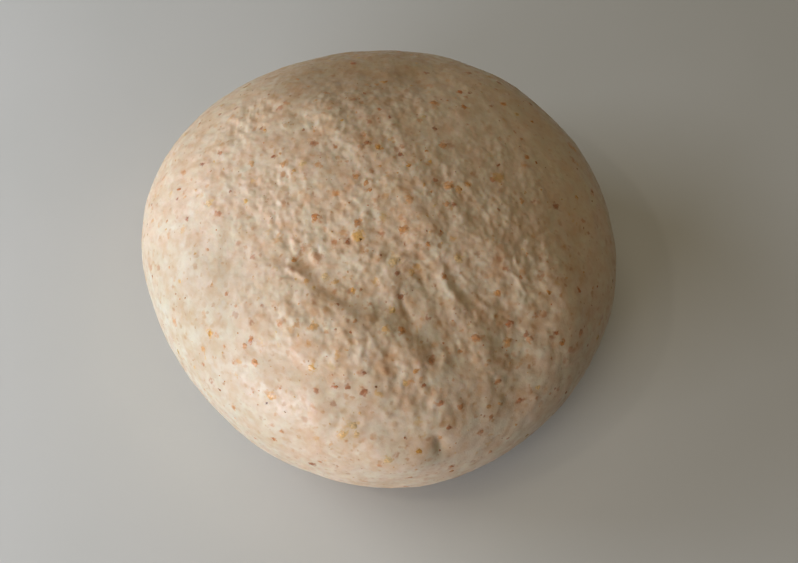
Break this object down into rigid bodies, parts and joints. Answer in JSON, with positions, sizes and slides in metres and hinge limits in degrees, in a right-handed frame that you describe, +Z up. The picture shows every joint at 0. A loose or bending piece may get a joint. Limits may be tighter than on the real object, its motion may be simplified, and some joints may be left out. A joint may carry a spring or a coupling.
{
  "type": "ball of raw spelt sourdough dough",
  "caption": "Kneaded and rounded ball of raw wholemeal spelt sourdough, slumped a little under its own weight and standing on its flat foot.",
  "frame": {"origin": "middle of the flat foot's plane, under the middle of the bounding box", "axes": "+Z up; +X to the right and +Y away, as seen by somebody bending over the dough from -Y, with the long hollow on the near side"},
  "size_m": [0.1588, 0.1544, 0.0809],
  "materials": {
    "dough": "moist raw dough skin, pale beige and flecked with orange-brown bran, with a soft satin sheen"
  },
  "bodies": {
    "root": {"dough": "dough"}
  },
  "joints": []
}
